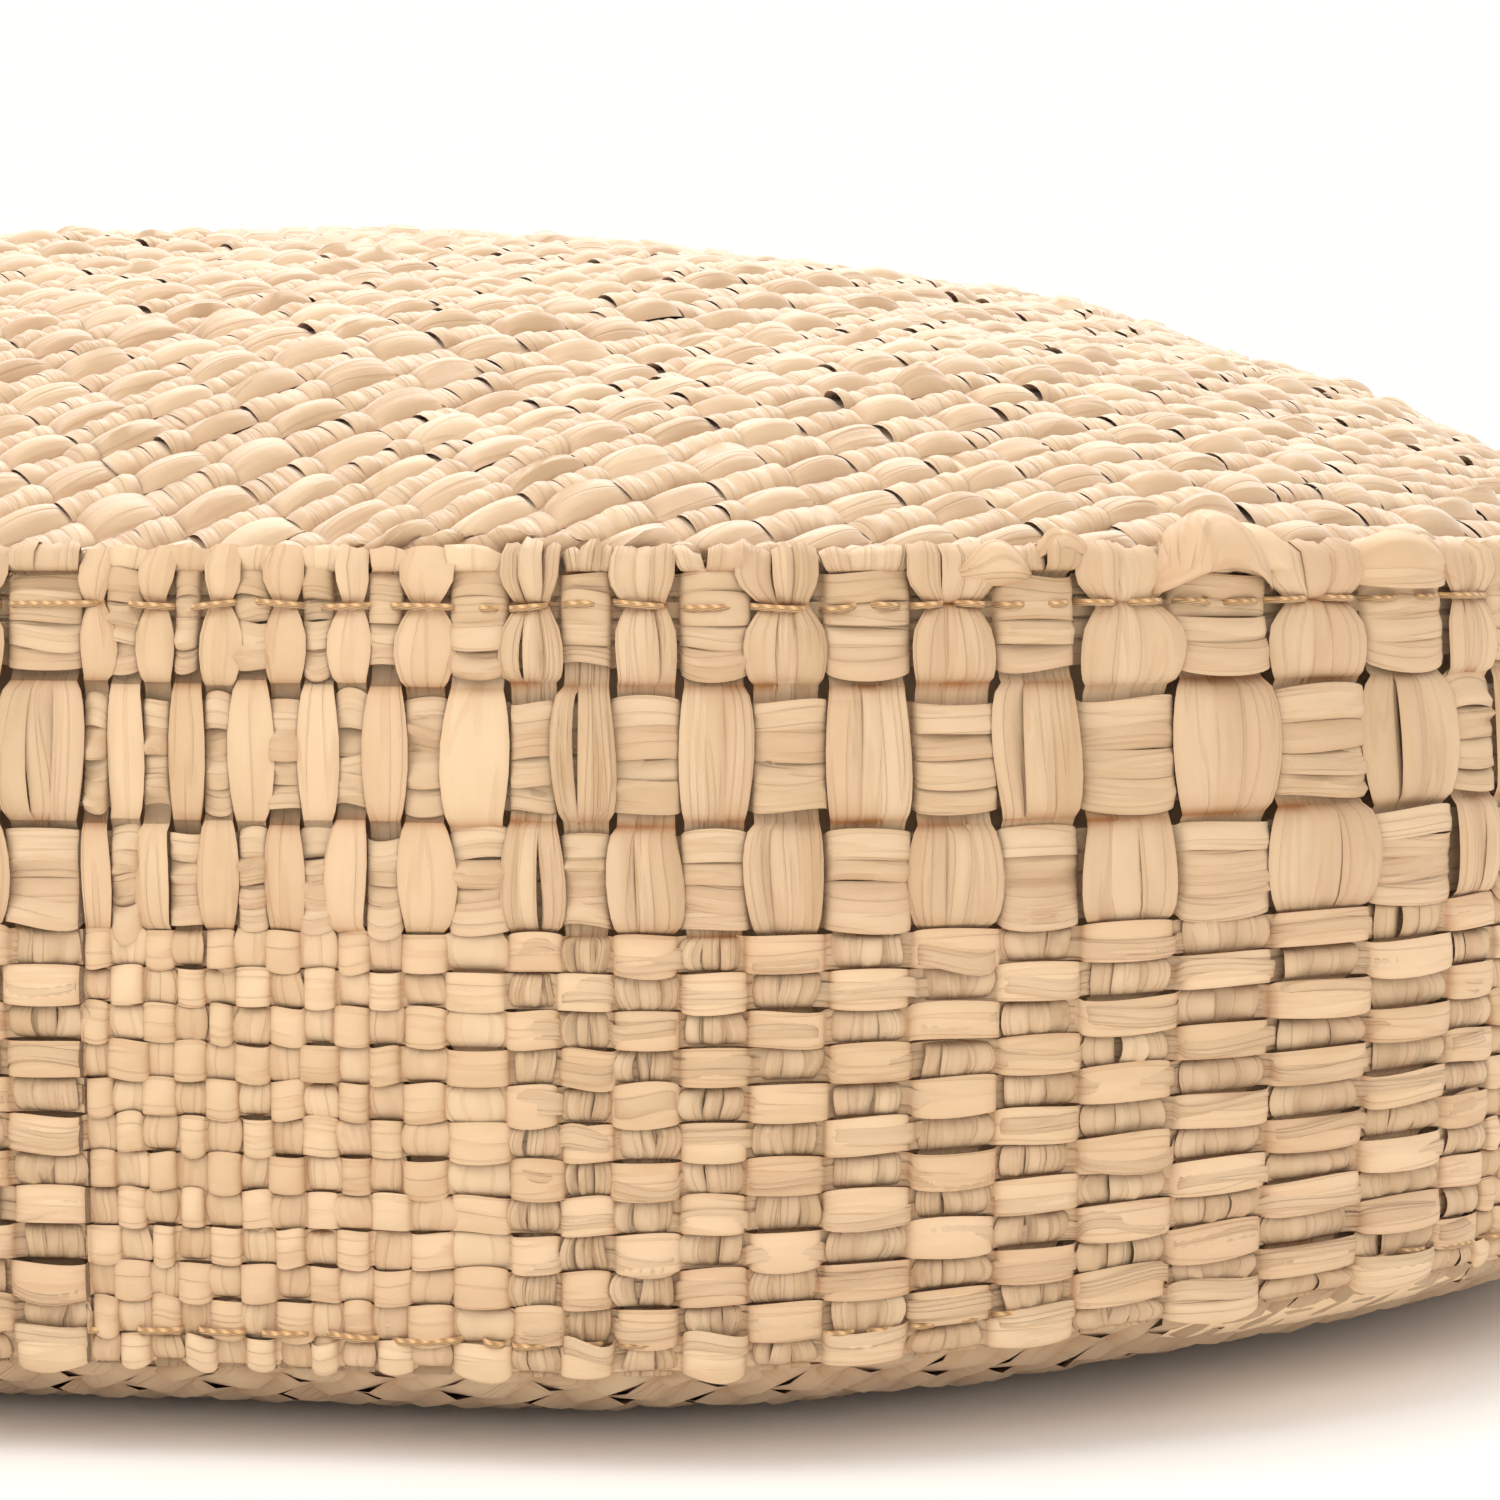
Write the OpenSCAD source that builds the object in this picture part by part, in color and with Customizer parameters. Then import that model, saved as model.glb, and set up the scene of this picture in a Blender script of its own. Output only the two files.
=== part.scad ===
// Boxed chair seat pad: foam and fibre in a calico case, inside a cover woven from raffia.
// The origin is the centre of the flat underside. +Z is up and the front faces -Y.

/* [Overall size] */
// Width of the pad, side to side
pad_w = 400; // [330:5:480]
// Depth of the pad, front to back
pad_d = 400; // [330:5:480]
// Radius of the four upright corners, seen from above
corner_r = 125; // [80:1:150]
// Height of the side band, from its turned-under edge to its folded edge
band_h = 79.5; // [66:0.5:96]
// Height of the band's turned-under edge above the seat
band_lift = 8; // [6:0.5:12]
// Rise of the crown above the band's folded edge
crown_rise = 40; // [30:1:52]

/* [Crown and underside] */
// How quickly the crown flattens towards the middle
crown_power = 2.7; // [2:0.1:4.5]
// How far the underside curves in before it lies flat
under_reach = 36; // [24:1:60]
// How quickly the underside flattens
under_power = 2.2; // [1.5:0.1:3]

/* [Raffia] */
// Thickness of one layer of strands in the side band
band_ply = 1.2; // [0.8:0.1:1.6]
// Thickness of one layer of strands in the top and bottom panels
panel_ply = 1.1; // [0.8:0.1:1.6]
// Height of the first and third wide wefts
wide_weft_h = 9.1; // [7:0.1:11]
// Height of the second wide weft
middle_weft_h = 10.5; // [8:0.1:12]
// Space between two wide wefts
wide_weft_gap = 2.3; // [1:0.1:4]
// Height that one fine weft takes up
fine_weft_pitch = 3.5; // [2.8:0.1:4.5]
// Space between two fine wefts
fine_weft_gap = 0.3; // [0.1:0.1:0.8]
// Length of band that one fine upright takes up
fine_upright_pitch = 3.15; // [2.6:0.05:4]
// Length of band that one coarse upright takes up
coarse_upright_pitch = 8.3; // [6.5:0.1:10]
// Space between two uprights
upright_gap = 0.5; // [0.2:0.1:1]
// Fine uprights in one repeat
fine_uprights = 13; // [8:1:16]
// Coarse uprights in one repeat
coarse_uprights = 12; // [8:1:16]

/* [Hems and stitching] */
// How far the turned-in legs of both hems reach along the band
hem_leg = 9.5; // [7:0.5:12]
// Distance of the upper row of stitches below the folded edge
top_stitch_drop = 5.5; // [4:0.1:7]
// Distance of the lower row of stitches above the turned-under edge
bottom_stitch_rise = 4.5; // [3.5:0.1:6]
// Length along the band from one stitch to the next
stitch_pitch = 4.9; // [4:0.1:8]
// Length of thread that shows in one stitch
stitch_len = 3.2; // [2:0.1:3.6]
// Thickness of the stitching thread
thread_d = 0.7; // [0.4:0.1:1]

/* [Filling and inner case] */
// Thickness of the calico case
calico = 0.6; // [0.4:0.1:1]
// Thickness of the calico case's own thread
case_thread = 0.4; // [0.2:0.1:0.6]
// Fibre between the band's folded edge and the foam's upper face
crown_fill_edge = 7.5; // [5:0.5:10]
// Fibre between the band's turned-under edge and the foam's lower face
under_fill_edge = 6; // [5:0.5:9]
// Clearance between two neighbouring pieces
ply_gap = 0.3; // [0.25:0.05:0.5]

/* [Hidden] */
$fn = 96;

raffia = [0.86, 0.72, 0.53];
raffia_pale = [0.91, 0.79, 0.60];
raffia_deep = [0.80, 0.65, 0.47];
gold_thread = [0.76, 0.58, 0.33];
calico_white = [0.93, 0.90, 0.83];
fibre_white = [0.96, 0.96, 0.94];
foam_cream = [0.94, 0.88, 0.70];

// Heights of the band's two edges
band_top = band_lift + band_h;
// Straight lengths of the front and of the sides, and the length of one corner's arc
front_run = pad_w - 2 * corner_r;
side_run = pad_d - 2 * corner_r;
corner_run = PI * corner_r / 2;
half_run = front_run + side_run + 2 * corner_run;
girth = 2 * half_run;

// Insets from the band's outer face, layer by layer
upright_in = band_ply + ply_gap;
hem_in = upright_in + band_ply + ply_gap;
panel_in = hem_in + band_ply + ply_gap;
panel_inner_in = panel_in + panel_ply;
case_thread_in = panel_inner_in + panel_ply + ply_gap;
case_in = case_thread_in + case_thread;
fill_in = case_in + calico + ply_gap;
// How far the case and the filling lie below the panels' outer surface
case_drop = 2 * panel_ply + ply_gap;
fill_drop = case_drop + calico + ply_gap;

// Levels of the rows of the band
weft_top = band_top - band_ply - ply_gap;
middle_weft_z = weft_top - wide_weft_h - wide_weft_gap - middle_weft_h;
lower_weft_z = middle_weft_z - wide_weft_gap - wide_weft_h;
fine_z = band_lift + band_ply + ply_gap;
fine_span = lower_weft_z - ply_gap - fine_z;
fine_rows = round(fine_span / fine_weft_pitch);
fine_step = fine_span / fine_rows;

// One repeat of the band: coarse uprights, then fine ones, stretched to fill the girth evenly
repeat_len = coarse_uprights * coarse_upright_pitch + fine_uprights * fine_upright_pitch;
repeats = round(girth / repeat_len);
stretch = girth / (repeats * repeat_len);
stitches = 4 * round(girth / (4 * stitch_pitch));

foam_z = band_lift + under_fill_edge;
foam_top = band_top - crown_fill_edge;

// Facets of the domed pieces stay this close to the true corner
facet_sag = 0.17;
corner_steps = ceil(45 / acos(1 - facet_sag / corner_r));
crown_rings = 8;
crown_spacing = 1.6;
under_rings = 5;
under_spacing = 1.2;

// ---- Shapes that the pieces share ----

// Plan of the pad, drawn in from the outer face by an inset
module plan(inset) {
    r = corner_r - inset;
    square([front_run, pad_d - 2 * inset], center = true);
    square([pad_w - 2 * inset, side_run], center = true);
    for (sx = [-1, 1], sy = [-1, 1])
        translate([sx * front_run / 2, sy * side_run / 2]) circle(r);
}

// A hoop round the pad, from one height to another and from one inset to another
module hoop(z, top, outer, inner) {
    translate([0, 0, z]) linear_extrude(top - z)
        difference() {
            plan(outer);
            plan(inner);
        }
}

// Place and heading of the point a length s along the outer face, from the left of the front
function along(s) =
    s >= half_run ? let (p = along(s - half_run)) [-p[0], -p[1], p[2] + 180]
    : s < front_run ? [s - front_run / 2, -pad_d / 2, 0]
    : s < front_run + corner_run ?
        let (turn = 90 * (s - front_run) / corner_run)
        [front_run / 2 + corner_r * sin(turn), -side_run / 2 - corner_r * cos(turn), turn]
    : s < front_run + corner_run + side_run ?
        [pad_w / 2, s - front_run - corner_run - side_run / 2, 90]
    : let (turn = 90 * (s - front_run - corner_run - side_run) / corner_run)
        [front_run / 2 + corner_r * cos(turn), side_run / 2 + corner_r * sin(turn), 90 + turn];

// Stands a child on the outer face at a length s, with +X along the band and +Y inwards
module on_band(s) {
    p = along(s);
    translate([p[0], p[1], 0]) rotate([0, 0, p[2]]) children();
}

// Points of the plan at an inset, drawn in towards the middle by a share and set at a height
function ring(inset, share, z) = [
    for (sector = [0:3], i = [0:corner_steps])
        let (
            turn = 90 * (sector + i / corner_steps),
            cx = (sector == 0 || sector == 3 ? 1 : -1) * front_run / 2,
            cy = (sector < 2 ? 1 : -1) * side_run / 2
        )
        [
            (cx + (corner_r - inset) * cos(turn)) * (1 - share),
            (cy + (corner_r - inset) * sin(turn)) * (1 - share),
            z
        ]
];

// A closed solid that runs from a middle point at the top, through rings, to one at the bottom
module lofted(first_z, rings, last_z) {
    n = 4 * (corner_steps + 1);
    points = concat([[0, 0, first_z]], [for (r = rings) for (p = r) p], [[0, 0, last_z]]);
    last = len(points) - 1;
    faces = concat(
        [for (i = [0:n - 1]) [0, 1 + (i + 1) % n, 1 + i]],
        [for (k = [0:len(rings) - 2], i = [0:n - 1])
            let (a = 1 + k * n, b = a + n, j = (i + 1) % n)
            each [[a + i, a + j, b + j], [a + i, b + j, b + i]]],
        [for (i = [0:n - 1])
            let (a = 1 + (len(rings) - 1) * n)
            [last, a + i, a + (i + 1) % n]]
    );
    polyhedron(points, faces);
}

// Height of the crown and of the underside, at a share of the way in to the middle
function crown_z(u) = band_top + crown_rise * (1 - pow(1 - u, crown_power));
function under_z(u) =
    band_lift * pow(1 - min(1, u * min(pad_w, pad_d) / 2 / under_reach), under_power);

// Shares at which the crown and the underside have their rings, from the rim inwards
crown_shares = [for (i = [0:crown_rings - 1]) pow(i / crown_rings, crown_spacing)];
under_shares = [for (i = [0:under_rings])
    pow(i / under_rings, under_spacing) * under_reach / (min(pad_w, pad_d) / 2)];

// Rings of a crown surface from the middle out, and of an underside from the rim in
function crown_out(inset, drop) =
    [for (i = [crown_rings - 1:-1:0]) ring(inset, crown_shares[i], crown_z(crown_shares[i]) - drop)];
function crown_in(inset, drop) =
    [for (u = crown_shares) ring(inset, u, crown_z(u) - drop)];
function under_out(inset, lift) =
    [for (i = [under_rings:-1:0]) ring(inset, under_shares[i], under_z(under_shares[i]) + lift)];
function under_in(inset, lift) =
    [for (u = under_shares) ring(inset, u, under_z(u) + lift)];

// A ply of the crown: outer surface out to the rim, down a flange, and back under itself
module crown_ply(inset, drop, ply, flange_z) {
    lofted(
        crown_z(1) - drop,
        concat(
            crown_out(inset, drop),
            [ring(inset, 0, flange_z)],
            [ring(inset + ply, 0, flange_z)],
            crown_in(inset + ply, drop + ply)
        ),
        crown_z(1) - drop - ply
    );
}

// A ply of the underside, with its flange turned up inside the band
module under_ply(inset, lift, ply, flange_z) {
    lofted(
        under_z(1) + lift + ply,
        concat(
            under_out(inset + ply, lift + ply),
            [ring(inset + ply, 0, flange_z)],
            [ring(inset, 0, flange_z)],
            under_in(inset, lift)
        ),
        under_z(1) + lift
    );
}

// Uprights of one kind, standing in every repeat from a start to an end along it
module uprights(start, count, pitch) {
    for (r = [0:repeats - 1], i = [0:count - 1])
        on_band(stretch * (r * repeat_len + start + (i + 0.5) * pitch))
            translate([-(pitch * stretch - upright_gap) / 2, upright_in, fine_z])
                cube([pitch * stretch - upright_gap, band_ply, weft_top - fine_z]);
}

// A row of stitches lying along the band's outer face
module stitch_row(z) {
    for (i = [0:stitches - 1])
        on_band(i * girth / stitches)
            translate([-stitch_len / 2, -thread_d / 2 - 0.02, z])
                rotate([0, 90, 0]) cylinder(d = thread_d, h = stitch_len);
}

// ---- Filling ----

// Block of upholstery foam
module foam_core() {
    color(foam_cream)
        translate([0, 0, foam_z]) linear_extrude(foam_top - foam_z) plan(fill_in);
}

// Loose fibre that crowns the top of the foam
module crown_filling() {
    color(fibre_white)
        lofted(crown_z(1) - fill_drop,
            concat(crown_out(fill_in, fill_drop), [ring(fill_in, 0, foam_top)]),
            foam_top);
}

// Thin layer of fibre under the foam
module under_filling() {
    color(fibre_white)
        lofted(foam_z,
            concat([ring(fill_in, 0, foam_z)], under_in(fill_in, fill_drop)),
            under_z(1) + fill_drop);
}

// ---- Inner case ----

// Calico panel over the crown
module inner_case_top() {
    color(calico_white)
        crown_ply(case_in, case_drop, calico, band_top - case_drop - calico - ply_gap);
}

// Calico boxing round the foam
module inner_case_band() {
    color(calico_white)
        hoop(band_lift + fill_drop + 2 * ply_gap, band_top - fill_drop - 2 * ply_gap,
            case_in, case_in + calico);
}

// Calico panel under the foam
module inner_case_bottom() {
    color(calico_white)
        under_ply(case_in, case_drop, calico, band_lift + case_drop + calico + ply_gap);
}

// Two rows of fine thread that close the calico case
module inner_case_thread() {
    color(calico_white)
        for (z = [band_lift + fill_drop + 4 * ply_gap, band_top - fill_drop - 5 * ply_gap])
            hoop(z, z + case_thread, case_thread_in, case_thread_in + case_thread);
}

// ---- Woven cover ----

// Upper layer of the plaited top, with its edge turned down inside the band
module top_panel_right_strands() {
    color(raffia_pale) crown_ply(panel_in, 0, panel_ply, band_top - hem_leg);
}

// Lower layer of the plaited top, crossing the other one
module top_panel_left_strands() {
    color(raffia) crown_ply(panel_inner_in, panel_ply, panel_ply, band_top - hem_leg);
}

// Outer layer of the plaited bottom, which lies on the seat
module bottom_panel_right_strands() {
    color(raffia_pale) under_ply(panel_in, 0, panel_ply, band_lift + hem_leg);
}

// Inner layer of the plaited bottom
module bottom_panel_left_strands() {
    color(raffia) under_ply(panel_inner_in, panel_ply, panel_ply, band_lift + hem_leg);
}

// Three wide hoops of strands round the upper half of the band
module band_wide_wefts() {
    color(raffia_deep) {
        hoop(weft_top - wide_weft_h, weft_top, 0, band_ply);
        hoop(middle_weft_z, middle_weft_z + middle_weft_h, 0, band_ply);
        hoop(lower_weft_z, lower_weft_z + wide_weft_h, 0, band_ply);
    }
}

// Fine hoops of strands round the lower half of the band
module band_fine_wefts() {
    color(raffia)
        for (i = [0:fine_rows - 1])
            hoop(fine_z + i * fine_step, fine_z + (i + 1) * fine_step - fine_weft_gap, 0, band_ply);
}

// Narrow upright strands, one strand each
module band_fine_uprights() {
    color(raffia_pale) uprights(coarse_uprights * coarse_upright_pitch, fine_uprights, fine_upright_pitch);
}

// Broad upright bundles of two to four strands
module band_coarse_uprights() {
    color(raffia_deep) uprights(0, coarse_uprights, coarse_upright_pitch);
}

// Folded upper edge of the band, with its turned-in leg
module top_hem() {
    color(raffia) {
        hoop(band_top - band_ply, band_top, 0, hem_in + band_ply);
        hoop(band_top - hem_leg, band_top - band_ply, hem_in, hem_in + band_ply);
    }
}

// Turned-under lower edge of the band, with its turned-in leg
module bottom_hem() {
    color(raffia) {
        hoop(band_lift, band_lift + band_ply, 0, hem_in + band_ply);
        hoop(band_lift + band_ply, band_lift + hem_leg, hem_in, hem_in + band_ply);
    }
}

// ---- Stitching ----

// Stitches that hold the top panel's edge inside the upper hem
module top_seam_thread() {
    color(gold_thread) stitch_row(band_top - top_stitch_drop);
}

// Stitches that hold the bottom panel's edge inside the lower hem
module bottom_seam_thread() {
    color(gold_thread) stitch_row(band_lift + bottom_stitch_rise);
}

foam_core();
crown_filling();
under_filling();
inner_case_top();
inner_case_band();
inner_case_bottom();
inner_case_thread();
top_panel_right_strands();
top_panel_left_strands();
bottom_panel_right_strands();
bottom_panel_left_strands();
band_wide_wefts();
band_fine_wefts();
band_fine_uprights();
band_coarse_uprights();
top_hem();
bottom_hem();
top_seam_thread();
bottom_seam_thread();
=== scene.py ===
import math
import bpy
import numpy as np
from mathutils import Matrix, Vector


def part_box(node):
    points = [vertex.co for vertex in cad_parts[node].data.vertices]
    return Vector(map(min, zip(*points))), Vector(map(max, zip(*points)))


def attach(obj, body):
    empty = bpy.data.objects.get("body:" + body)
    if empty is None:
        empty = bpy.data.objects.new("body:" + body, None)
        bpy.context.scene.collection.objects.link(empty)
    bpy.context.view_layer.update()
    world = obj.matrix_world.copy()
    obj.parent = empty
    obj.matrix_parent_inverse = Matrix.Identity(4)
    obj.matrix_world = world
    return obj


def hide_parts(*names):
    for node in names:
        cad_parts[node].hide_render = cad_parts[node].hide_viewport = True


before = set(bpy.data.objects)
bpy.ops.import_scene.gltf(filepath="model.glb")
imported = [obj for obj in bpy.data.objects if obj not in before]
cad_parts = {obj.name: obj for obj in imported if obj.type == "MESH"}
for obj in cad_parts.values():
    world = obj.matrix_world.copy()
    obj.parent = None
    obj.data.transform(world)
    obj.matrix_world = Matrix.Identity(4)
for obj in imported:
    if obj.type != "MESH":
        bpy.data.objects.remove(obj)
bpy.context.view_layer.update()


# ------------------------
# Foam core. One block of open-cell upholstery foam, cut to the plan of the pad with a hot wire.
# It lies loose inside the calico case, with fibre above and below it.
# ------------------------

corner_radius = 0.125
plan_columns = 220
soft_crease = math.radians(70)
hard_crease = math.radians(40)
low_corner, high_corner = (np.array(c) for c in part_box("band_wide_wefts"))
pad_width, pad_depth = (high_corner - low_corner)[:2]
front_run = pad_width - 2 * corner_radius
side_run = pad_depth - 2 * corner_radius
corner_run = math.pi / 2 * corner_radius
girth = 2 * (front_run + side_run + 2 * corner_run)


def plan(run):
    """Place and outward normal of a length along the pad's outer face, from the left of the front.
    Straight sides joined by quarter circles: each corner turns the heading by its share of 90 degrees,
    and the second half of the way round is the first half turned about the middle."""
    run = np.mod(run, girth)
    far = run >= girth / 2
    run = np.where(far, run - girth / 2, run)
    first = np.clip((run - front_run) / corner_run, 0, 1) * math.pi / 2
    second = np.clip((run - front_run - corner_run - side_run) / corner_run, 0, 1) * math.pi / 2
    along_front = np.clip(run, 0, front_run)
    along_side = np.clip(run - front_run - corner_run, 0, side_run)
    x = along_front - front_run / 2 + corner_radius * (np.sin(first) - 1 + np.cos(second))
    y = along_side - pad_depth / 2 + corner_radius * (1 - np.cos(first) + np.sin(second))
    sign = np.where(far, -1.0, 1.0)
    turn = first + second
    return sign * x, sign * y, sign * np.sin(turn), -sign * np.cos(turn)


def mesh_piece(name, points, corners, starts, finish, uv=None, crease=soft_crease):
    """A mesh object from points in metres, the corners of all faces in a row, and each face's first."""
    mesh = bpy.data.meshes.new(name)
    mesh.vertices.add(len(points))
    mesh.vertices.foreach_set("co", np.ascontiguousarray(points, np.float32).ravel())
    mesh.loops.add(len(corners))
    mesh.loops.foreach_set("vertex_index", corners.astype(np.int32))
    mesh.polygons.add(len(starts))
    mesh.polygons.foreach_set("loop_start", starts.astype(np.int32))
    if uv is not None:
        layer = mesh.uv_layers.new(name="strand")
        layer.uv.foreach_set("vector", np.ascontiguousarray(uv[corners], np.float32).ravel())
    mesh.polygons.foreach_set("use_smooth", np.ones(len(starts), bool))
    mesh.update(calc_edges=True)
    mesh.set_sharp_from_angle(angle=crease)
    mesh.materials.append(finish)
    piece = bpy.data.objects.new(name, mesh)
    bpy.context.scene.collection.objects.link(piece)
    return piece


def lofted(name, inset, share, level, finish, columns=plan_columns):
    """A closed solid from a profile carried round the plan. Row by row, the outline is drawn in by an
    inset, scaled towards the middle by a share, and set at a level. Poles close both ends."""
    inset, share, level = (np.asarray(a, float)[:, None] for a in (inset, share, level))
    x, y, nx, ny = plan(np.arange(columns) * girth / columns)
    rows = len(level)
    grid = np.stack([(x - nx * inset) * (1 - share), (y - ny * inset) * (1 - share),
                     level + 0 * x], -1).reshape(-1, 3)
    points = np.concatenate([grid, [[0, 0, level[0, 0]], [0, 0, level[-1, 0]]]])
    here = np.arange(columns)
    ahead = (here + 1) % columns
    row = np.arange(rows - 1)[:, None] * columns
    quads = np.stack([row + here, row + columns + here, row + columns + ahead, row + ahead], -1)
    top = np.stack([0 * here + rows * columns, here, ahead], -1)
    end = (rows - 1) * columns
    bottom = np.stack([0 * here + rows * columns + 1, end + ahead, end + here], -1)
    corners = np.concatenate([quads.ravel(), top.ravel(), bottom.ravel()])
    sizes = np.concatenate([np.full(quads[..., 0].size, 4), np.full(2 * columns, 3)])
    return mesh_piece(name, points, corners, np.cumsum(sizes) - sizes, finish)


class Wire:
    """One socket of a shader, which can be added, multiplied and so on like a number."""

    def __init__(self, tree, socket):
        self.tree, self.socket = tree, socket

    def maths(self, operation, first, second):
        """One maths node of an operation on two wires or numbers."""
        node = self.tree.nodes.new("ShaderNodeMath")
        node.operation = operation
        for entry, value in zip(node.inputs, (first, second)):
            if isinstance(value, Wire):
                self.tree.links.new(value.socket, entry)
            elif value is not None:
                entry.default_value = value
        return Wire(self.tree, node.outputs[0])

    def __add__(self, other):
        return self.maths("ADD", self, other)

    def __radd__(self, other):
        return self.maths("ADD", other, self)

    def __sub__(self, other):
        return self.maths("SUBTRACT", self, other)

    def __rsub__(self, other):
        return self.maths("SUBTRACT", other, self)

    def __mul__(self, other):
        return self.maths("MULTIPLY", self, other)

    def __rmul__(self, other):
        return self.maths("MULTIPLY", other, self)

    def __pow__(self, other):
        return self.maths("POWER", self, other)

    def floor(self):
        """The whole number below."""
        return self.maths("FLOOR", self, None)

    def clamped(self):
        """Held between 0 and 1."""
        return self.maths("MAXIMUM", self.maths("MINIMUM", self, 1.0), 0.0)


class Finish:
    """A material being made: its node tree, its main shader, and one way to add any other node."""

    def __init__(self, name, roughness=0.6, specular=0.4, sheen=0.0):
        self.material = bpy.data.materials.new(name)
        self.material.use_nodes = True
        self.tree = self.material.node_tree
        self.shader = self.tree.nodes["Principled BSDF"]
        self.shader.inputs["Roughness"].default_value = roughness
        self.shader.inputs["Specular IOR Level"].default_value = specular
        self.shader.inputs["Sheen Weight"].default_value = sheen

    def node(self, kind, out, settings=None, **sockets):
        """Adds a node, sets it up, fills its sockets by name or number, and returns one output."""
        node = self.tree.nodes.new("ShaderNode" + kind)
        for name, value in (settings or {}).items():
            setattr(node, name, value)
        for name, value in sockets.items():
            entry = node.inputs[int(name[1:])] if name[0] == "_" else node.inputs[name.replace("_", " ")]
            if isinstance(value, Wire):
                self.tree.links.new(value.socket, entry)
            else:
                entry.default_value = value
        return Wire(self.tree, node.outputs[out])

    def mix(self, share, first, second, blend="MIX"):
        """A colour between two colours."""
        return self.node("Mix", 2, {"data_type": "RGBA", "blend_type": blend}, _0=share, _6=first, _7=second)

    def feed(self, **sockets):
        """Links wires to the main shader."""
        for name, value in sockets.items():
            self.tree.links.new(value.socket, self.shader.inputs[name.replace("_", " ")])

    def bump(self, height, distance, strength=1.0):
        """Feeds a height to the shader's normal."""
        self.feed(Normal=self.node("Bump", 0, Strength=strength, Distance=distance, Height=height))


foam_cream = (0.82, 0.70, 0.44, 1)
foam_shade = (0.62, 0.50, 0.28, 1)
foam = Finish("foam", roughness=0.9, specular=0.2)
place = foam.node("TexCoord", "Object")
pores = foam.node("TexVoronoi", "Distance", Vector=place, Scale=900.0)
patches = foam.node("TexNoise", 0, Vector=place, Scale=30.0)
foam.feed(Base_Color=foam.mix((pores * 1.4 - 0.1 + patches * 0.3).clamped(), foam_shade, foam_cream))
foam.bump(pores, 0.0006)

foam_low, foam_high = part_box("foam_core")
foam_inset = pad_width / 2 - foam_high[0]
foam_edge = 0.004
bevel_steps = 6
bevel = np.linspace(0, math.pi / 2, bevel_steps)
foam_inset_rows = foam_inset + foam_edge * np.concatenate([1 - np.sin(bevel), 1 - np.cos(bevel)])
foam_levels = np.concatenate([foam_high[2] - foam_edge * (1 - np.cos(bevel)),
                              foam_low[2] + foam_edge * (1 - np.sin(bevel))])
foam_core = lofted("foam_core_block", foam_inset_rows, 0 * foam_levels, foam_levels, foam.material)
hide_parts("foam_core")
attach(foam_core, "root")


# ------------------------
# Fibre filling. Loose polyester fibre heaped on the foam gives the crown, and a thin layer under
# it softens the lower edge. Both lie inside the calico case and press out against it.
# ------------------------

band_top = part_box("top_hem")[1][2]
band_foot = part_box("bottom_hem")[0][2]
crown_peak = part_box("top_panel_right_strands")[1][2]
crown_rise = crown_peak - band_top
crown_power = 2.7
under_reach = 0.036
under_power = 3.0
crown_rings = 26
crown_spacing = 1.4
under_rings = 9


def crown_level(share):
    """Height of the crown at a share of the way in to the middle: a power curve, steep at the rim."""
    return band_top + crown_rise * (1 - (1 - share) ** crown_power)


def under_level(share):
    """Height of the underside: a power curve down from the band's foot to the flat of the seat."""
    return band_foot * (1 - np.minimum(1, share * pad_width / 2 / under_reach)) ** under_power


fibre_white = (0.90, 0.89, 0.86, 1)
fibre_grey = (0.74, 0.73, 0.70, 1)
fibre = Finish("loose fibre", roughness=0.95, specular=0.1, sheen=0.2)
place = fibre.node("TexCoord", "Object")
hairs = fibre.node("TexNoise", 0, Vector=place, Scale=420.0, Detail=6.0, Distortion=2.5)
tufts = fibre.node("TexNoise", 0, Vector=place, Scale=45.0, Detail=3.0)
fibre.feed(Base_Color=fibre.mix((hairs * 1.2 - 0.1).clamped(), fibre_grey, fibre_white))
fibre.bump(hairs * 0.4 + tufts, 0.003)

fill_inset = foam_inset
crown_filling_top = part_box("crown_filling")[1][2]
under_filling_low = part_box("under_filling")[0][2]
share_in = np.linspace(0, 1, crown_rings)[:-1] ** crown_spacing
crown_drop = crown_peak - crown_filling_top
crown_filling = lofted(
    "crown_fibre", np.full(len(share_in) + 1, fill_inset), np.r_[share_in[::-1], 0],
    np.r_[crown_level(share_in[::-1]) - crown_drop, foam_high[2]], fibre.material)
under_shares = np.linspace(0, 1, under_rings) * under_reach / (pad_width / 2)
under_filling = lofted(
    "under_fibre", np.full(len(under_shares) + 1, fill_inset), np.r_[0, under_shares],
    np.r_[foam_low[2], under_level(under_shares) + under_filling_low], fibre.material)
for piece, node, fill in ((crown_filling, "crown_filling", 0.8), (under_filling, "under_filling", 0.7)):
    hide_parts(node)
    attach(piece, "root")


# ------------------------
# Calico case. Two panels and a boxing strip of unbleached cotton hold the foam and the fibre.
# They are lock-stitched to each other inside the raffia cover and never show.
# ------------------------

calico_cream = (0.80, 0.58, 0.36, 1)
calico_fleck = (0.55, 0.46, 0.33, 1)
calico_threads = 130.0
calico = Finish("calico", roughness=0.85, specular=0.25, sheen=0.1)
place = calico.node("TexCoord", "Object")
warp = calico.node("TexWave", "Fac", {"bands_direction": "X"}, Vector=place, Scale=calico_threads)
weft = calico.node("TexWave", "Fac", {"bands_direction": "Y"}, Vector=place, Scale=calico_threads)
fleck = calico.node("TexNoise", 0, Vector=place, Scale=500.0, Detail=2.0)
calico.feed(Base_Color=calico.mix((fleck * 6.0 - 3.7).clamped() * 0.5, calico_cream, calico_fleck))
calico.bump(warp * weft + fleck * 0.4, 0.0002)

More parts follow.
